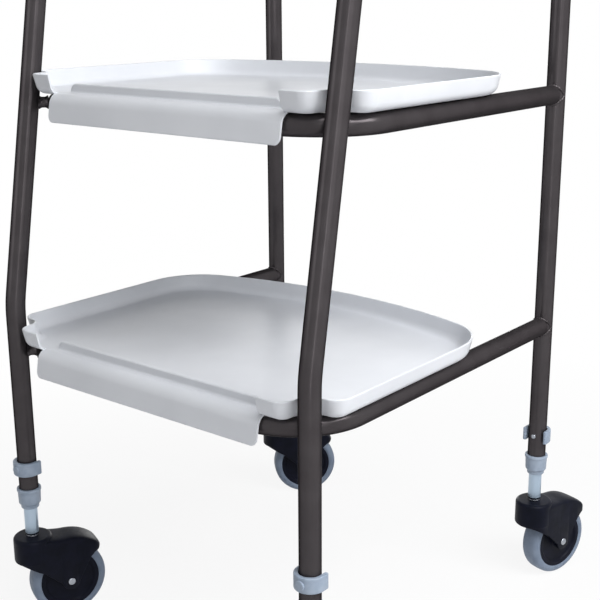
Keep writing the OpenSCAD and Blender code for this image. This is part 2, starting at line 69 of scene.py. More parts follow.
GRIP_R = 15.6
GRIP_COLLAR_R = 18
GRIP_COLLAR_LEN = 5
GRIP_COLLAR_EDGE = 1.8
GRIP_RIB = 6.5
GRIP_GROOVE = 1.1
GRIP_GROOVE_EDGE = 0.5

TRAY_OVERHANG = 19.5
TRAY_BACK = 337
RIM_FRONT = 15
LEG_GAP = 3
RIM_H = 21.6
SHEET = 2.5
RIM_EDGE = 1.2
REST_GAP = 0.3
WALL_DRAFT = 5
FOOT_R = 11
FLOOR_FILLET = 8.5
REAR_CORNER_R = 75
BOW_R = 600
LIP_END = 161.5
LIP_LAP = 1.5
LIP_DROP = 17.5
APRON_CORNER_R = 8
CURB_Y = 5
CURB_TOP = 5
CURB_SLOPE = 6
CURB_H = 9.5
CURB_END = 147
CURB_CORNER_R = 7
CURB_FOOT = 4
LIP_FLAT = 10
PLATE_IN = 14.5
STRIP_IN = 16

EXT_R = 8
EXT_IN_R = 6.5
EXT_BOTTOM = 114.7
EXT_TOP = 346
PLUG_DEPTH = 30
PLUG_LIFT = 2.2
HOLE_PITCH = 25
HOLE_COUNT = 6
CLIP_Z = 199.5
CLIP_IN_R = 11.4
CLIP_WALL = 4.8
CLIP_H = 16.5
CLIP_ARM = 9
CLIP_EDGE = 1.3
CLIP_BOSS_R = 5
CLIP_BOSS_H = 2.6
CLIP_BOSS_SUNK = 1.5
PIN_R = 3
PIN_SUNK = 2
PIN_PAST = 0.6
FERRULE_R = 13.6
FERRULE_TOP = 173
FERRULE_FOOT = 147.5
FERRULE_SLEEVE_TOP = 174

WHEEL_R = 46
TYRE_HALF = 13
HUB_R = 36
HUB_BOSS_R = 9
SLOT_R = 49.5
SLOT_HALF = 14.5
TRAIL = 39.3
CASTOR_TOP = 110
BOSS_R = 23
CHIN_Z = 78
HOOD_R = 58
HOOD_HALF = 18.5
HOOD_SHOULDER = 4
WEB_RISE = 4
TAIL_RISE = 42
TAIL_THICK = 8
TAIL_NOSE = 4.5
TAIL_TAPER = 6
TAIL_TAPER_LEN = 12
CHEEK_END_R = 11
STEM_R = 5
STEM_FOOT = 81
COLLAR_FOOT = 0.4
COLLAR_TOP = 2.1
COLLAR_IN = 0.8
AXLE_R = 3.5
AXLE_HEAD_R = 4.5
AXLE_HEAD_H = 1.2

LEGS = ("rear_right", "rear_left", "front_right", "front_left")
joints = {joint["name"]: joint for joint in frame["joints"]}
feet = {leg: Vector(joints[leg + "_swivel"]["pos_m"]) / MM for leg in LEGS}
axles = {leg: Vector(joints[leg + "_wheel_spin"]["pos_m"]) / MM for leg in LEGS}
REAR_Y = feet["rear_right"].y
FRONT_Y = feet["front_right"].y
LEG_X = {"right": feet["rear_right"].x, "left": feet["rear_left"].x}
MID_X = (LEG_X["right"] + LEG_X["left"]) / 2

FLOOR_Z = TUBE_R + REST_GAP
FLOOR_TOP = FLOOR_Z + SHEET
RIM_Z = FLOOR_Z + RIM_H


def rail_place(name):
    """Depth and height of a rail's front bar, in millimetres."""
    low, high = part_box(name + "_rail")
    return low.y / MM + TUBE_R, (low.z + high.z) / 2 / MM


# Plane paths


def spun(v, turn):
    return Vector((
        v.x * math.cos(turn) - v.y * math.sin(turn),
        v.x * math.sin(turn) + v.y * math.cos(turn),
    ))


def rounded(corners, radii, closed=True, step=9):
    """Path through the corners, each rounded to its radius, with a point every step degrees."""
    path = []
    last = len(corners) - 1
    for i, radius in enumerate(radii):
        here = Vector(corners[i])
        if radius == 0 or (not closed and i in (0, last)):
            path.append(here)
            continue
        back = (Vector(corners[i - 1]) - here).normalized()
        on = (Vector(corners[0 if i == last else i + 1]) - here).normalized()
        half = back.angle(on) / 2
        centre = here + (back + on).normalized() * (radius / math.sin(half))
        start = here + back * (radius / math.tan(half)) - centre
        turn = math.pi - 2 * half
        if back.x * on.y > back.y * on.x:
            turn = -turn
        count = max(2, math.ceil(abs(math.degrees(turn)) / step))
        path.extend(centre + spun(start, turn * k / count) for k in range(count + 1))
    return path


def arc(centre, radius, start, end, step=6):
    """Points of an arc with the outward way at each; angles in degrees."""
    count = max(2, math.ceil(abs(end - start) / step))
    ways = [spun(Vector((1, 0)), math.radians(start + (end - start) * k / count)) for k in range(count + 1)]
    return [(Vector(centre) + way * radius, way) for way in ways]


# Solids, as vertices and faces in metres


def loft(rings, wrap=False):
    """Skin over rings of equally many points, closed by caps or by joining the last ring to the first."""
    size = len(rings[0])
    count = len(rings)
    verts = [point * MM for ring in rings for point in ring]
    faces = []
    for i in range(count if wrap else count - 1):
        a = i * size
        b = (i + 1) % count * size
        for k in range(size):
            n = (k + 1) % size
            faces.append((a + k, a + n, b + n, b + k))
    if not wrap:
        faces.append(tuple(reversed(range(size))))
        faces.append(tuple(range((count - 1) * size, count * size)))
    return verts, faces


def tube(path, lay, r_out, r_in, sides=48):
    """Hollow tube along a plane path. Lay takes a plane point and a height off it to the part's frame."""
    outer = []
    inner = []
    for i, here in enumerate(path):
        way = (path[min(i + 1, len(path) - 1)] - path[max(i - 1, 0)]).normalized()
        side = Vector((-way.y, way.x))
        for rings, radius in ((outer, r_out), (inner, r_in)):
            turns = [math.tau * k / sides for k in range(sides)]
            rings.append([lay(here + side * (radius * math.cos(a)), radius * math.sin(a)) for a in turns])
    return loft(outer + inner[::-1], wrap=True)


def lathe(profile, origin, axis, sides=64):
    """Solid turned from a closed profile of radius and height about an axis."""
    way = Vector(axis).normalized()
    across = way.orthogonal().normalized()
    third = way.cross(across)
    rings = []
    for k in range(sides):
        a = math.tau * k / sides
        out = across * math.cos(a) + third * math.sin(a)
        rings.append([origin + out * point[0] + way * point[1] for point in profile])
    return loft(rings, wrap=True)


def pillow(outline, half, edge, lay, count=4):
    """Slab over an outline, from -half to half off its plane, with its edges rounded."""
    size = len(outline)
    ways = []
    for i, here in enumerate(outline):
        back = (here - outline[i - 1]).normalized()
        on = (outline[(i + 1) % size] - here).normalized()
        normal = Vector((back.y + on.y, -back.x - on.x)).normalized()
        ways.append(normal / max(0.5, normal.dot(Vector((on.y, -on.x)))))
    rings = []
    for side in (-1, 1):
        turns = [math.pi / 2 * k / count for k in range(count + 1)]
        for turn in (reversed(turns) if side < 0 else turns):
            inset = edge * (1 - math.cos(turn))
            off = side * (half - edge + edge * math.sin(turn))
            rings.append([lay(here - way * inset, off) for here, way in zip(outline, ways)])
    return loft(rings)


def shade(mesh, sharp):
    """Welds a mesh and gives it smooth shading that breaks at edges sharper than sharp degrees."""
    bm = bmesh.new()
    bm.from_mesh(mesh)
    bmesh.ops.remove_doubles(bm, verts=bm.verts, dist=WELD)
    bmesh.ops.dissolve_degenerate(bm, dist=WELD, edges=bm.edges)
    for face in bm.faces:
        face.smooth = True
    for edge in bm.edges:
        edge.smooth = len(edge.link_faces) == 2 and edge.calc_face_angle() < math.radians(sharp)
    bm.to_mesh(mesh)
    bm.free()


def mesh_of(name, shells, sharp=38):
    bm = bmesh.new()
    for verts, faces in shells:
        made = [bm.verts.new(v) for v in verts]
        for face in faces:
            bm.faces.new([made[k] for k in face])
    bmesh.ops.recalc_face_normals(bm, faces=bm.faces)
    mesh = bpy.data.meshes.new(name)
    bm.to_mesh(mesh)
    bm.free()
    shade(mesh, sharp)
    return mesh


def combined(name, base, tools, sharp=38):
    """Mesh of the base shell with tool shells added to it or cut from it."""
    body = bpy.data.objects.new(name, mesh_of(name, [base]))
    bpy.context.scene.collection.objects.link(body)
    for i, (operation, shell) in enumerate(tools):
        tool = bpy.data.objects.new(f"{name}_tool_{i}", mesh_of(f"{name}_tool_{i}", [shell]))
        bpy.context.scene.collection.objects.link(tool)
        change = body.modifiers.new("change", "BOOLEAN")
        change.operation = operation
        change.solver = "EXACT"
        change.object = tool
        seen = body.evaluated_get(bpy.context.evaluated_depsgraph_get())
        body.data = bpy.data.meshes.new_from_object(seen)
        body.modifiers.clear()
        bpy.data.objects.remove(tool)
    mesh = body.data
    bpy.data.objects.remove(body)
    shade(mesh, sharp)
    return mesh


# Materials


def link(tree, out, into):
    tree.links.new(out, into)


def noise(tree, scale, detail=3, stretch=(1, 1, 1)):
    """Noise over the piece's own coordinates."""
    place = tree.nodes.new("ShaderNodeTexCoord")
    mapping = tree.nodes.new("ShaderNodeMapping")
    mapping.inputs["Scale"].default_value = stretch
    texture = tree.nodes.new("ShaderNodeTexNoise")
    texture.inputs["Scale"].default_value = scale
    texture.inputs["Detail"].default_value = detail
    link(tree, place.outputs["Object"], mapping.inputs["Vector"])
    link(tree, mapping.outputs["Vector"], texture.inputs["Vector"])
    return texture.outputs["Fac"]


def ramp(tree, fac, low, high):
    made = tree.nodes.new("ShaderNodeValToRGB")
    made.color_ramp.elements[0].position = 0.35
    made.color_ramp.elements[1].position = 0.65
    made.color_ramp.elements[0].color = (*low, 1)
    made.color_ramp.elements[1].color = (*high, 1)
    link(tree, fac, made.inputs["Fac"])
    return made.outputs["Color"]


def spread(tree, fac, low, high):
    made = tree.nodes.new("ShaderNodeMapRange")
    made.inputs["From Min"].default_value = 0.3
    made.inputs["From Max"].default_value = 0.7
    made.inputs["To Min"].default_value = low
    made.inputs["To Max"].default_value = high
    link(tree, fac, made.inputs["Value"])
    return made.outputs["Result"]


def material(name, low, high, rough, patch, grain, depth, stretch=(1, 1, 1), **sockets):
    """Finish with patches between two colours, an uneven gloss and a fine grain."""
    made = bpy.data.materials.new(name)
    made.use_nodes = True
    tree = made.node_tree
    shader = tree.nodes["Principled BSDF"]
    patches = noise(tree, patch, 4, stretch)
    grains = noise(tree, grain, 2, stretch)
    bump = tree.nodes.new("ShaderNodeBump")
    bump.inputs["Strength"].default_value = 0.35
    bump.inputs["Distance"].default_value = depth * MM
    link(tree, grains, bump.inputs["Height"])
    link(tree, bump.outputs["Normal"], shader.inputs["Normal"])
    link(tree, ramp(tree, patches, low, high), shader.inputs["Base Color"])
    link(tree, spread(tree, noise(tree, patch * 2.3, 3, stretch), *rough), shader.inputs["Roughness"])
    for socket, value in sockets.items():
        shader.inputs[socket.replace("_", " ")].default_value = value
    return made


MATERIALS = {
    "frame_paint": material(
        "frame_paint", (0.058, 0.052, 0.055), (0.066, 0.060, 0.063), (0.18, 0.24), 40, 1400, 0.04,
        Metallic=0.5, Specular_IOR_Level=0.0, Specular_Tint=(0.1, 0.1, 0.1, 1)),
    "grip_rubber": material(
        "grip_rubber", (0.016, 0.016, 0.017), (0.026, 0.026, 0.028), (0.62, 0.75), 60, 2200, 0.20),
    "tray_plastic": material(
        "tray_plastic", (0.67, 0.69, 0.73), (0.71, 0.73, 0.77), (0.28, 0.34), 12, 160, 0.002,
        Specular_IOR_Level=0.3),
    "fitting_plastic": material(
        "fitting_plastic", (0.25, 0.31, 0.40), (0.31, 0.37, 0.46), (0.40, 0.52), 90, 2000, 0.08),
    "inner_tube": material(
        "inner_tube", (0.38, 0.48, 0.59), (0.46, 0.56, 0.67), (0.28, 0.40), 60, 900, 0.04,
        stretch=(1, 1, 0.08), Metallic=0.55),
    "castor_plastic": material(
        "castor_plastic", (0.004, 0.005, 0.010), (0.006, 0.007, 0.015), (0.38, 0.48), 70, 2400, 0.10,
        Specular_IOR_Level=0.07),
    "tyre_rubber": material(
        "tyre_rubber", (0.14, 0.18, 0.25), (0.18, 0.225, 0.30), (0.50, 0.62), 80, 2600, 0.15),
    "steel": material(
        "steel", (0.30, 0.32, 0.36), (0.40, 0.42, 0.46), (0.20, 0.34), 120, 1500, 0.03, Metallic=1.0),
}


def piece(name, mesh, body, slot, *nodes):
    mesh.materials.clear()
    mesh.materials.append(MATERIALS[slot])
    obj = bpy.data.objects.new(name, mesh)
    bpy.context.scene.collection.objects.link(obj)
    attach(obj, body)
    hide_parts(*(nodes or (name,)))


# Frame


def hoop(side):
    x = LEG_X[side]
    rear_top = REAR_Y + (HANDLE_Z - LEAN_Z) * math.tan(LEAN)
    corners = [
        (REAR_Y, TUBE_END_Z),
        (REAR_Y, LEAN_Z),
        (rear_top, HANDLE_Z),
        (FRONT_Y, HANDLE_Z),
        (FRONT_Y, TUBE_END_Z),
    ]
    path = rounded(corners, (0, LEAN_BEND_R, HANDLE_BEND_R, HANDLE_BEND_R, 0), closed=False, step=4)
    shell = tube(path, lambda p, off: Vector((x + off, p.x, p.y)), TUBE_R, TUBE_IN_R)
    piece(side + "_hoop", mesh_of(side + "_hoop", [shell]), "frame", "frame_paint")


def rail(name):
    bar_y, z = rail_place(name)
    corners = [
        (LEG_X["right"], FRONT_Y - TUBE_R),
        (LEG_X["right"], bar_y),
        (LEG_X["left"], bar_y),
        (LEG_X["left"], FRONT_Y - TUBE_R),
    ]
    path = rounded(corners, (0, RAIL_BEND_R, RAIL_BEND_R, 0), closed=False, step=4)
    shell = tube(path, lambda p, off: Vector((p.x, p.y, z + off)), TUBE_R, TUBE_IN_R)
    piece(name + "_rail", mesh_of(name + "_rail", [shell]), "frame", "frame_paint")


def weld_bead(x, z):
    """Rippled bead along the line where a rail's end meets its front leg."""
    rings = []
    for i in range(BEAD_STEPS):
        a = math.tau * i / BEAD_STEPS
        out = Vector((math.cos(a), 0, math.sin(a)))
        reach = math.sqrt(math.sin(a) ** 2 + 0.02) * TUBE_R
        foot = Vector((x, FRONT_Y - reach, z)) + out * (TUBE_R * 0.985)
        back = Vector((0, -1, 0))
        radius = BEAD_R * (1 + 0.12 * math.sin(a * 29) + 0.06 * math.sin(a * 11))
        turns = [math.tau * k / 12 for k in range(12)]
        rings.append([foot + (out * math.cos(b) + back * math.sin(b)) * radius for b in turns])
    return loft(rings, wrap=True)


def stub(x, y, z, way):
    """Short rod between a leg and a rail's bend, with a fillet weld at each end."""
    gap = (math.sqrt(2) - 1) * RAIL_BEND_R - 2 * TUBE_R + 2 * STUB_BITE
    flare = STUB_R + STUB_FLARE
    weld = [(flare, 0), (flare - 0.6, 1.2), (STUB_R + 0.3, 2.4), (STUB_R, 3.4)]
    profile = [(0, 0), *weld, *[(r, gap - h) for r, h in reversed(weld)], (0, gap)]
    return lathe(profile, Vector((x, y, z)) + way * (TUBE_R - STUB_BITE), way, 40)


def frame_joins():
    beads = []
    stubs = []
    for name in ("upper", "lower"):
        bar_y, z = rail_place(name)
        for side, x in LEG_X.items():
            beads.append(weld_bead(x, z))
            turn = math.radians(135 if side == "right" else 45)
            stubs.append(stub(x, bar_y, z, Vector((math.cos(turn), math.sin(turn), 0))))
    piece("rail_welds", mesh_of("rail_welds", beads, 60), "frame", "frame_paint")
    piece("corner_stubs", mesh_of("corner_stubs", stubs), "frame", "frame_paint")


def grip(side):
    low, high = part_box(side + "_grip")
    length = (high.y - low.y) / MM
    ribs = int((length - 4 * GRIP_COLLAR_LEN) / GRIP_RIB)
    start = (length - ribs * GRIP_RIB) / 2
    collar = [(TUBE_R, 0), (GRIP_COLLAR_R, 0), (GRIP_COLLAR_R, GRIP_COLLAR_LEN), (GRIP_R, GRIP_COLLAR_LEN)]
    collar_radii = [0, GRIP_COLLAR_EDGE, GRIP_COLLAR_EDGE, 1]
    corners = collar[:]
    radii = collar_radii[:]
    for i in range(ribs):
        at = start + i * GRIP_RIB
        corners += [(GRIP_R, at + 0.8), (GRIP_R - GRIP_GROOVE, at + 1.6), (GRIP_R, at + 2.4)]
        radii += [GRIP_GROOVE_EDGE] * 3
    corners += [(r, length - h) for r, h in reversed(collar)]
    radii += collar_radii[::-1]
    origin = Vector((LEG_X[side], low.y / MM, HANDLE_Z))
    shell = lathe(rounded(corners, radii, step=22), origin, (0, 1, 0))
    piece(side + "_grip", mesh_of(side + "_grip", [shell]), "frame", "grip_rubber")


# Trays, drawn from the middle of the front bar


def rim_line():
    """Rim's outer edge from one end of the lip round to the other, with the outward way at each point."""
    leg = (LEG_X["right"] - LEG_X["left"]) / 2
    notch = Vector((leg, RIM_Z * math.tan(LEAN) / 2))
    notch_r = TUBE_R + LEG_GAP + notch.y
    nose_r = RIM_FRONT + notch.y
    nose = notch - Vector((notch_r + nose_r, 0))
    ear = notch + Vector((0, notch_r + TRAY_OVERHANG))
    bow = Vector((0, TRAY_BACK - BOW_R))
    rear_x = leg + TRAY_OVERHANG - REAR_CORNER_R
    inner_r = BOW_R - REAR_CORNER_R
    bow_deg = math.degrees(math.asin(rear_x / inner_r))
    rear = Vector((rear_x, bow.y + inner_r * math.cos(math.radians(bow_deg))))
    half = [(Vector((LIP_END - LIP_LAP, -RIM_FRONT)), Vector((0, -1)))]
    half += arc(nose, nose_r, -90, 0)
    half += [(p, -way) for p, way in arc(notch, notch_r, 180, 90)[1:]]
    half += arc(ear, TRAY_OVERHANG, -90, 0)[1:]
    half += arc(rear, REAR_CORNER_R, 0, 90 - bow_deg, 4)
    half += arc(bow, BOW_R, 90 - bow_deg, 90, 2)[1:]
    other = [(Vector((-p.x, p.y)), Vector((-way.x, way.y))) for p, way in reversed(half[:-1])]
    return half + other


def wall_section():
    """Rim wall and the edge of the floor: outward from the rim, and height."""
    inner = SHEET + WALL_DRAFT * (RIM_Z - FLOOR_TOP) / RIM_H
    corners = [
        (0, RIM_Z),
        (-SHEET, RIM_Z),
        (-inner, FLOOR_TOP - HAIR),
        (-STRIP_IN, FLOOR_TOP - HAIR),
        (-STRIP_IN, FLOOR_Z + HAIR),
        (-WALL_DRAFT, FLOOR_Z + HAIR),
    ]
    return rounded(corners, (RIM_EDGE, RIM_EDGE, FLOOR_FILLET, 0, 0, FOOT_R), step=12)


def lip_path():
    """Points from the floor over the bar and down the apron, each with its outward way and half thickness."""
    middle = FLOOR_Z + SHEET / 2
    half = SHEET / 2 - 2 * HAIR
    out = Vector((-math.cos(LEAN), math.sin(LEAN)))
    down = Vector((-math.sin(LEAN), -math.cos(LEAN)))
    length = (LIP_DROP + FLOOR_Z * math.sin(LEAN)) / math.cos(LEAN)
    path = [(Vector((CURB_Y + CURB_TOP + CURB_SLOPE + LIP_FLAT, middle)), Vector((0, 1)), half)]
    path += [(p, way, half) for p, way in arc((0, 0), middle, 90, 180 - math.degrees(LEAN), 5)]
    count = 16
    path += [(out * middle + down * ((length - half) * k / count), out, half) for k in range(1, count + 1)]
    for turn in (30, 60, 80):
        a = math.radians(turn)
        path.append((out * middle + down * (length - half + half * math.sin(a)), out, half * math.cos(a)))
    return path


def lip_half(point):
    """Half length of the lip at a point of its section, less where the apron's corners are rounded."""
    up = min(APRON_CORNER_R, max(0, point.y + LIP_DROP))
    return LIP_END - APRON_CORNER_R + math.sqrt(APRON_CORNER_R ** 2 - (APRON_CORNER_R - up) ** 2)


def curb_section():
    """Curb with a flat foot on either side: depth and height from the bar's axis."""
    sunk = FLOOR_TOP - SHEET / 2
    back = CURB_Y + CURB_TOP + CURB_SLOPE
    corners = [
        (CURB_Y - CURB_FOOT, sunk),
        (back + CURB_FOOT, sunk),
        (back + CURB_FOOT, FLOOR_TOP + HAIR),
        (back, FLOOR_TOP + HAIR),
        (CURB_Y + CURB_TOP, FLOOR_TOP + CURB_H),
        (CURB_Y, FLOOR_TOP + CURB_H),
        (CURB_Y, FLOOR_TOP + HAIR),
        (CURB_Y - CURB_FOOT, FLOOR_TOP + HAIR),
    ]
    return rounded(corners, (0, 0, 0, 4, 2.2, 1.8, 2.4, 0), step=12)


def curb(lay):
    """Curb along the lip, with its ends rounded down to the floor."""
    section = curb_section()
    low = FLOOR_TOP + HAIR
    turns = [math.pi / 2 * k / 8 for k in range(9)]
    ends = [(CURB_END - CURB_CORNER_R * (1 - math.cos(a)), max(0.05, math.sin(a))) for a in turns]
    rings = []
    for x, rise in ends + [(-x, rise) for x, rise in reversed(ends)]:
        heights = [min(p.y, low) + max(0, p.y - low) * rise for p in section]
        rings.append([lay(Vector((x, p.x)), height) for p, height in zip(section, heights)])
    return loft(rings)


def tray(name):
    bar_y, z = rail_place(name)

    def lay(p, height):
        return Vector((MID_X + p.x, bar_y + p.y, z + height))

    line = rim_line()
    section = wall_section()
    strip = loft([[lay(p + way * at.x, at.y) for at in section] for p, way in line])
    edge = [p - way * PLATE_IN for p, way in line]
    plate = loft([[lay(p, height) for p in edge] for height in (FLOOR_Z, FLOOR_TOP)])
    rings = []
    for point, way, half in lip_path():
        end = lip_half(point)
        sides = ((end, half), (-end, half), (-end, -half), (end, -half))
        places = [(x, point + way * off) for x, off in sides]
        rings.append([lay(Vector((x, p.x)), p.y) for x, p in places])
    lip = loft(rings)
    mesh = combined(name + "_tray", plate, [("UNION", strip), ("UNION", lip), ("UNION", curb(lay))])
    piece(name + "_tray", mesh, name + "_tray", "tray_plastic")


# Legs


def ferrule(leg):
    foot = feet[leg]
    corners = [
        (EXT_R + HAIR, FERRULE_FOOT),
        (TUBE_R - 0.6, FERRULE_FOOT),
        (TUBE_R - 0.4, TUBE_END_Z - 1),
        (FERRULE_R - 0.8, TUBE_END_Z - 1),
        (FERRULE_R - 0.2, FERRULE_TOP - 4),
        (FERRULE_R + 0.6, FERRULE_TOP - 3.4),
        (FERRULE_R + 0.6, FERRULE_TOP),
        (TUBE_R, FERRULE_TOP),
        (TUBE_R, TUBE_END_Z),
        (TUBE_IN_R, TUBE_END_Z),
        (TUBE_IN_R, FERRULE_SLEEVE_TOP),
        (EXT_R + HAIR, FERRULE_SLEEVE_TOP),
    ]
    radii = (0.6, 1.2, 1, 1.8, 1, 0.6, 1, 0.6, 0, 0, 0.4, 0.4)
    shell = lathe(rounded(corners, radii, step=18), Vector((foot.x, foot.y, 0)), (0, 0, 1))
    name = leg + "_ferrule"
    piece(name, mesh_of(name, [shell]), "frame", "fitting_plastic")


def clip(leg):
    foot = feet[leg]
    out = 1 if leg.startswith("front") else -1
    out_r = CLIP_IN_R + CLIP_WALL
    tip = CLIP_WALL / 2
    outer = [p for p, way in arc((0, 0), out_r, 0, 180)]
    inner = [p for p, way in arc((0, 0), CLIP_IN_R, 180, 0)]
    middle = CLIP_IN_R + tip
    left_tip = [p for p, way in arc((-middle, tip - CLIP_ARM), tip, 180, 360, 20)]
    right_tip = [p for p, way in arc((middle, tip - CLIP_ARM), tip, 180, 360, 20)]
    outline = outer + left_tip + inner + right_tip

    def lay(p, height):
        return Vector((foot.x + out * p.x, foot.y + out * p.y, CLIP_Z + height))

    band = pillow(outline, CLIP_H / 2, CLIP_EDGE, lay)
    back = Vector((foot.x, foot.y + out * (out_r - CLIP_BOSS_SUNK), CLIP_Z))
    boss_corners = [(0, 0), (CLIP_BOSS_R, 0), (CLIP_BOSS_R, CLIP_BOSS_H), (0, CLIP_BOSS_H)]
    boss = lathe(rounded(boss_corners, (0, 0, 1, 0), step=18), back, (0, out, 0), 40)
    name = leg + "_clip"
    piece(name, combined(name, band, [("UNION", boss)]), name, "fitting_plastic")
    length = out_r - PIN_SUNK + TUBE_R + PIN_PAST
    pin_corners = [(0, 0), (PIN_R, 0), (PIN_R, length), (0, length)]
    head = Vector((foot.x, foot.y + out * (out_r - PIN_SUNK), CLIP_Z))
    pin = lathe(rounded(pin_corners, (0, 0, 1.2, 0), step=18), head, (0, -out, 0), 32)
    piece(name + "_pin", mesh_of(name + "_pin", [pin]), name, "steel")


def leg_tube(leg):
    foot = feet[leg]
    base = Vector((foot.x, foot.y, 0))
    corners = [(EXT_R, EXT_BOTTOM), (EXT_R, EXT_TOP), (EXT_IN_R, EXT_TOP), (EXT_IN_R, EXT_BOTTOM)]
    shell = lathe(rounded(corners, (0.5, 0.5, 0.3, 0.3), step=30), base, (0, 0, 1), 48)
    holes = []
    for i in range(HOLE_COUNT):
        middle = base + Vector((0, -2 * EXT_R, CLIP_Z + i * HOLE_PITCH))
        drill = [(0, 0), (PIN_R + REST_GAP, 0), (PIN_R + REST_GAP, 4 * EXT_R), (0, 4 * EXT_R)]
        holes.append(("DIFFERENCE", lathe(drill, middle, (0, 1, 0), 28)))
    name = leg + "_extension"
    piece(name, combined(name, shell, holes), leg + "_leg", "inner_tube")
    plug_foot = CASTOR_TOP + PLUG_LIFT
    plug_top = EXT_BOTTOM + PLUG_DEPTH
    corners = [
        (STEM_R, plug_foot), (EXT_R - 0.6, plug_foot), (EXT_R, EXT_BOTTOM - 1.6), (EXT_R, EXT_BOTTOM),
        (EXT_IN_R, EXT_BOTTOM), (EXT_IN_R, plug_top), (STEM_R, plug_top),
    ]
    plug = lathe(rounded(corners, (0, 0.5, 0.5, 0.3, 0, 0.6, 0), step=30), base, (0, 0, 1))
    piece(leg + "_plug", mesh_of(leg + "_plug", [plug]), leg + "_leg", "castor_plastic")
    collar_r = EXT_R - COLLAR_IN
    collar_foot = CASTOR_TOP + COLLAR_FOOT
    collar_top = CASTOR_TOP + COLLAR_TOP
    corners = [
        (0, STEM_FOOT), (STEM_R, STEM_FOOT), (STEM_R, collar_foot), (collar_r, collar_foot),
        (collar_r, collar_top), (STEM_R, collar_top), (STEM_R, plug_top), (0, plug_top),
    ]
    stem = lathe(rounded(corners, (0, 0.8, 0, 0.4, 0.4, 0, 0.8, 0), step=30), base, (0, 0, 1), 40)
    piece(leg + "_stem", mesh_of(leg + "_stem", [stem]), leg + "_leg", "steel")


# Castors, drawn with the swivel axis at the origin and the wheel trailing along x


def eased(x, start, end):
    """Smooth step from nought at start to one at end."""
    t = min(1, max(0, (x - start) / (end - start)))
    return t * t * (3 - 2 * t)


def along(points, x):
    """Height at x on a line through the points."""
    for (x0, z0), (x1, z1) in zip(points, points[1:]):
        if x <= x1:
            return z0 + (z1 - z0) * max(0, x - x0) / (x1 - x0)
    return points[-1][1]


def hood_half(x, tail_x):
    """Half width of the hood: round under the boss, then narrowing to a rounded tail."""
    inside = BOSS_R - 0.4
    if x < 0:
        return math.sqrt(max(1, inside ** 2 - x ** 2))
    width = inside - (inside - HOOD_HALF) * eased(x, 0, 44)
    return width - TAIL_TAPER * max(0, (x - tail_x + TAIL_TAPER_LEN) / TAIL_TAPER_LEN) ** 3


def hood_crest(x):
    """Top line of the hood: nearly level from the boss to the axle, then round the wheel to the tail."""
    if x < TRAIL:
        return WHEEL_R + HOOD_R + WEB_RISE * eased(x, TRAIL, 4)
    return WHEEL_R + math.sqrt(HOOD_R ** 2 - (x - TRAIL) ** 2)


def hood_ring(x, tail_x):
    """Section across the hood: a crowned top, upright cheeks and a bottom with eased edges."""
    top = hood_crest(x)
    edge = top - HOOD_SHOULDER - 3 * eased(x, TRAIL, 0) - 2 * eased(x, TRAIL + 20, tail_x)
    low_points = [
        (-BOSS_R, CHIN_Z + 3), (-12, CHIN_Z - 2), (8, CHIN_Z - 14), (TRAIL - CHEEK_END_R, WHEEL_R - 1),
        (TRAIL + CHEEK_END_R, WHEEL_R - 1), (TRAIL + 25, WHEEL_R + 25), (TRAIL + 32, WHEEL_R + 32),
        (tail_x, WHEEL_R + TAIL_RISE - TAIL_THICK),
    ]
    low = along(low_points, x)
    round_end = CHEEK_END_R ** 2 - (x - TRAIL) ** 2
    if round_end > 0:
        low = min(low, WHEEL_R - math.sqrt(round_end))
    if x < 0:
        top = CASTOR_TOP - 6
        edge = top - HOOD_SHOULDER
    edge = max(edge, low + 1.2)
    top = max(top, edge + 0.6)
    half = hood_half(x, tail_x)
    ease = min(1.5, (edge - low) / 2)
    turns = [math.pi / 2 * k / 10 for k in range(11)]
    right = [(half * math.cos(a) ** 0.6, edge + (top - edge) * math.sin(a) ** 0.75) for a in turns]
    foot = [(half - ease, low), (half - ease * 0.3, low + ease * 0.3), (half, low + ease)]
    nose = math.sqrt(1 - 0.96 * max(0, 1 - (tail_x - x) / TAIL_NOSE) ** 2)
    middle = (top + low) / 2
    side = [(y * (0.7 + 0.3 * nose), middle + (z - middle) * nose) for y, z in foot + right]
    return side + [(-y, z) for y, z in reversed(side[:-1])]


def hood_mesh():
    tail_x = TRAIL + math.sqrt(HOOD_R ** 2 - TAIL_RISE ** 2)
    places = [-BOSS_R + 1 + 3 * k for k in range(17)]
    places += [TRAIL - CHEEK_END_R + CHEEK_END_R * (1 - math.cos(math.pi * k / 14)) for k in range(15)]
    places += [TRAIL + CHEEK_END_R + (tail_x - TRAIL - CHEEK_END_R) * k / 16 for k in range(1, 17)]
    places += [tail_x - TAIL_NOSE * (1 - math.sin(math.pi * k / 16)) for k in range(9)]
    places = sorted(place for place in places if place < tail_x + 0.1)
    spaced = [places[0]]
    for place in places[1:]:
        if place - spaced[-1] > 0.2:
            spaced.append(place)
    hood = loft([[Vector((x, y, z)) for y, z in hood_ring(x, tail_x)] for x in spaced])
    corners = [(0, CHIN_Z), (BOSS_R, CHIN_Z), (BOSS_R, CASTOR_TOP), (0, CASTOR_TOP)]
    boss = lathe(rounded(corners, (0, 3, 4, 0)), Vector((0, 0, 0)), (0, 0, 1))
    axle = Vector((TRAIL, -SLOT_HALF, WHEEL_R))
    room = lathe([(0, 0), (SLOT_R, 0), (SLOT_R, 2 * SLOT_HALF), (0, 2 * SLOT_HALF)], axle, (0, 1, 0), 96)
    bore_r = STEM_R + HAIR
    bore_low = STEM_FOOT - 1
    bore_high = CASTOR_TOP + 9
    bore_corners = [(0, bore_low), (bore_r, bore_low), (bore_r, bore_high), (0, bore_high)]
    bore = lathe(bore_corners, Vector((0, 0, 0)), (0, 0, 1), 40)
    return combined("hood", hood, [("UNION", boss), ("DIFFERENCE", room), ("DIFFERENCE", bore)], 32)


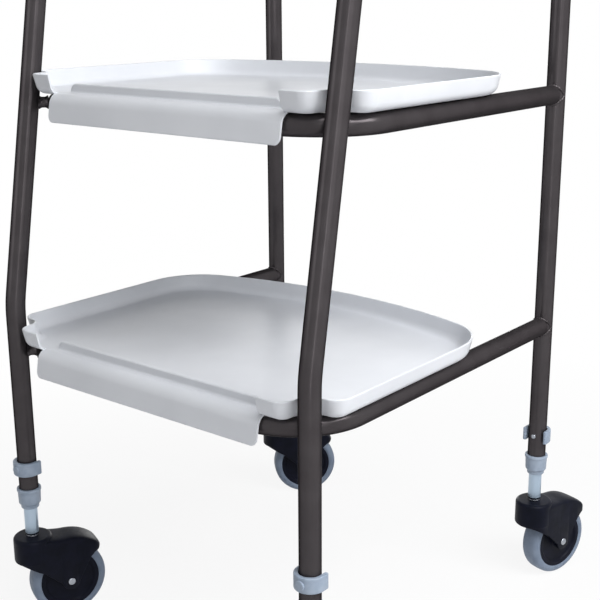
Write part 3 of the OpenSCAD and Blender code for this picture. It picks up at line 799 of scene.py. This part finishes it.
def tyre_profile():
    tread = [
        (HUB_R, 1 - TYRE_HALF), (HUB_R + 2, -TYRE_HALF), (WHEEL_R - 0.6, -TYRE_HALF), (WHEEL_R, 0),
        (WHEEL_R - 0.6, TYRE_HALF), (HUB_R + 2, TYRE_HALF), (HUB_R, TYRE_HALF - 1),
    ]
    return rounded(tread, (0, 1, 7, 60, 7, 1, 0), step=10)


def hub_profile():
    face = TYRE_HALF - 1.2
    boss = SLOT_HALF - 0.4
    half = [
        (AXLE_R + HAIR, boss), (HUB_BOSS_R, boss), (HUB_BOSS_R + 1.5, face - 2.4), (HUB_R - 7, face - 2.4),
        (HUB_R - 5, face), (HUB_R, face),
    ]
    corners = half + [(r, -h) for r, h in reversed(half)]
    radii = [0, 1, 1, 1, 1, 0]
    return rounded(corners, radii + radii[::-1], step=18)


def axle_profile():
    end = HOOD_HALF + AXLE_HEAD_H
    half = [(0, end), (AXLE_HEAD_R, end), (AXLE_HEAD_R, HOOD_HALF), (AXLE_R, HOOD_HALF)]
    corners = half + [(r, -h) for r, h in reversed(half)]
    radii = [0, AXLE_HEAD_H - HAIR, 0, 0]
    return rounded(corners, radii + radii[::-1], step=12)


def castor(leg, hood):
    way = (axles[leg] - feet[leg]).to_2d().normalized()
    turn = math.atan2(way.y, way.x)
    base = Vector((feet[leg].x, feet[leg].y, 0))
    fork = hood.copy()
    fork.transform(Matrix.Translation(base * MM) @ Matrix.Rotation(turn, 4, "Z"))
    piece(leg + "_fork", fork, leg + "_castor", "castor_plastic")
    across = (-math.sin(turn), math.cos(turn), 0)
    centre = axles[leg]
    for name, profile, body, slot in (
        ("_axle", axle_profile(), "_castor", "steel"),
        ("_hub", hub_profile(), "_wheel", "castor_plastic"),
        ("_tyre", tyre_profile(), "_wheel", "tyre_rubber"),
    ):
        shell = lathe(profile, centre, across, 96)
        piece(leg + name, mesh_of(leg + name, [shell]), leg + body, slot)


for side in LEG_X:
    hoop(side)
    grip(side)
for name in ("upper", "lower"):
    rail(name)
    tray(name)
frame_joins()
hood = hood_mesh()
for leg in LEGS:
    ferrule(leg)
    clip(leg)
    leg_tube(leg)
    castor(leg, hood)
    guide = frame["nodes"][leg + "_guide"]
    guide.data.materials.clear()
    guide.data.materials.append(MATERIALS["fitting_plastic"])
bpy.data.meshes.remove(hood)

# Camera

CAMERA_AT = (0.79547, -1.01486, 0.7385)  # metres
LENS = 67.31
SENSOR = 36
YAW = math.radians(38.99)
PITCH = math.radians(15.36)
ROLL = math.radians(-0.34)
camera = bpy.data.objects.new("camera", bpy.data.cameras.new("camera"))
camera.data.lens = LENS
camera.data.sensor_width = SENSOR
camera.matrix_world = (
    Matrix.Translation(CAMERA_AT)
    @ Matrix.Rotation(YAW, 4, "Z")
    @ Matrix.Rotation(math.pi / 2 - PITCH, 4, "X")
    @ Matrix.Rotation(ROLL, 4, "Z")
)
scene = bpy.context.scene
scene.collection.objects.link(camera)
scene.camera = camera
scene.view_settings.view_transform = "Standard"

# Light, in metres and watts

MIDDLE = (0, 0, 0.45)
FLOOR_HALF = 4.0


def softbox(name, place, watts, size=1.0, tall=1, aim=MIDDLE):
    lamp = bpy.data.lights.new(name, "AREA")
    lamp.shape = "RECTANGLE"
    lamp.size = size
    lamp.size_y = size * tall
    lamp.energy = watts
    obj = bpy.data.objects.new(name, lamp)
    obj.location = place
    obj.rotation_euler = (Vector(aim) - Vector(place)).to_track_quat("-Z", "Y").to_euler()
    scene.collection.objects.link(obj)
    return obj


lamps = [
    softbox("key", (1.576, 0, 1.681), 31),
    softbox("front_right", (1.365, -0.788, 1.681), 10),
    softbox("front_high", (0.759, -0.438, 2.248), 13),
    softbox("front_low", (1.694, -0.978, 0.866), 3),
    softbox("strip", (1.02, -1.1, 0.75), 2.2, size=0.07, tall=22, aim=(0.1, -0.1, 0.75)),
    softbox("left", (-0.978, -1.694, 0.866), 4),
    softbox("back", (-1.05, 1.55, 0.4), 7, size=0.7),
]


def seen_direct(tree):
    """One where the camera, a reflection or a see-through ray looks, and nought for light."""
    path = tree.nodes.new("ShaderNodeLightPath")
    total = path.outputs["Is Camera Ray"]
    for ray in ("Is Glossy Ray", "Is Transmission Ray"):
        add = tree.nodes.new("ShaderNodeMath")
        add.operation = "MAXIMUM"
        link(tree, total, add.inputs[0])
        link(tree, path.outputs[ray], add.inputs[1])
        total = add.outputs["Value"]
    return total


world = bpy.data.worlds.new("studio")
world.use_nodes = True
scene.world = world
tree = world.node_tree
soft = tree.nodes["Background"]
soft.inputs["Color"].default_value = (0.93, 0.96, 1.0, 1)
soft.inputs["Strength"].default_value = 0.03
white = tree.nodes.new("ShaderNodeBackground")
white.inputs["Color"].default_value = (1, 1, 1, 1)
white.inputs["Strength"].default_value = 1.0
mix = tree.nodes.new("ShaderNodeMixShader")
link(tree, seen_direct(tree), mix.inputs["Fac"])
link(tree, soft.outputs["Background"], mix.inputs[1])
link(tree, white.outputs["Background"], mix.inputs[2])
link(tree, mix.outputs["Shader"], tree.nodes["World Output"].inputs["Surface"])


def floor_finish():
    """Pale floor that keeps the shadow near the object and runs out into white."""
    made = bpy.data.materials.new("floor")
    made.use_nodes = True
    tree = made.node_tree
    tree.nodes.remove(tree.nodes["Principled BSDF"])
    matt = tree.nodes.new("ShaderNodeBsdfDiffuse")
    matt.inputs["Color"].default_value = (0.86, 0.86, 0.87, 1)
    glow = tree.nodes.new("ShaderNodeEmission")
    place = tree.nodes.new("ShaderNodeTexCoord")
    far = tree.nodes.new("ShaderNodeVectorMath")
    far.operation = "LENGTH"
    link(tree, place.outputs["Object"], far.inputs[0])
    fade = tree.nodes.new("ShaderNodeMapRange")
    fade.inputs["From Min"].default_value = 0.35
    fade.inputs["From Max"].default_value = 1.1
    fade.inputs["To Min"].default_value = 0.9
    fade.inputs["To Max"].default_value = 1.0
    link(tree, far.outputs["Value"], fade.inputs["Value"])
    share = tree.nodes.new("ShaderNodeMath")
    share.operation = "MULTIPLY"
    link(tree, fade.outputs["Result"], share.inputs[0])
    link(tree, seen_direct(tree), share.inputs[1])
    mix = tree.nodes.new("ShaderNodeMixShader")
    link(tree, share.outputs["Value"], mix.inputs["Fac"])
    link(tree, matt.outputs["BSDF"], mix.inputs[1])
    link(tree, glow.outputs["Emission"], mix.inputs[2])
    link(tree, mix.outputs["Shader"], tree.nodes["Material Output"].inputs["Surface"])
    return made


def floor():
    mesh = bpy.data.meshes.new("floor")
    corners = [(x * FLOOR_HALF, y * FLOOR_HALF, 0) for x, y in ((-1, -1), (1, -1), (1, 1), (-1, 1))]
    mesh.from_pydata(corners, [], [(0, 1, 2, 3)])
    mesh.materials.append(floor_finish())
    obj = bpy.data.objects.new("floor", mesh)
    scene.collection.objects.link(obj)
    return obj


floor()
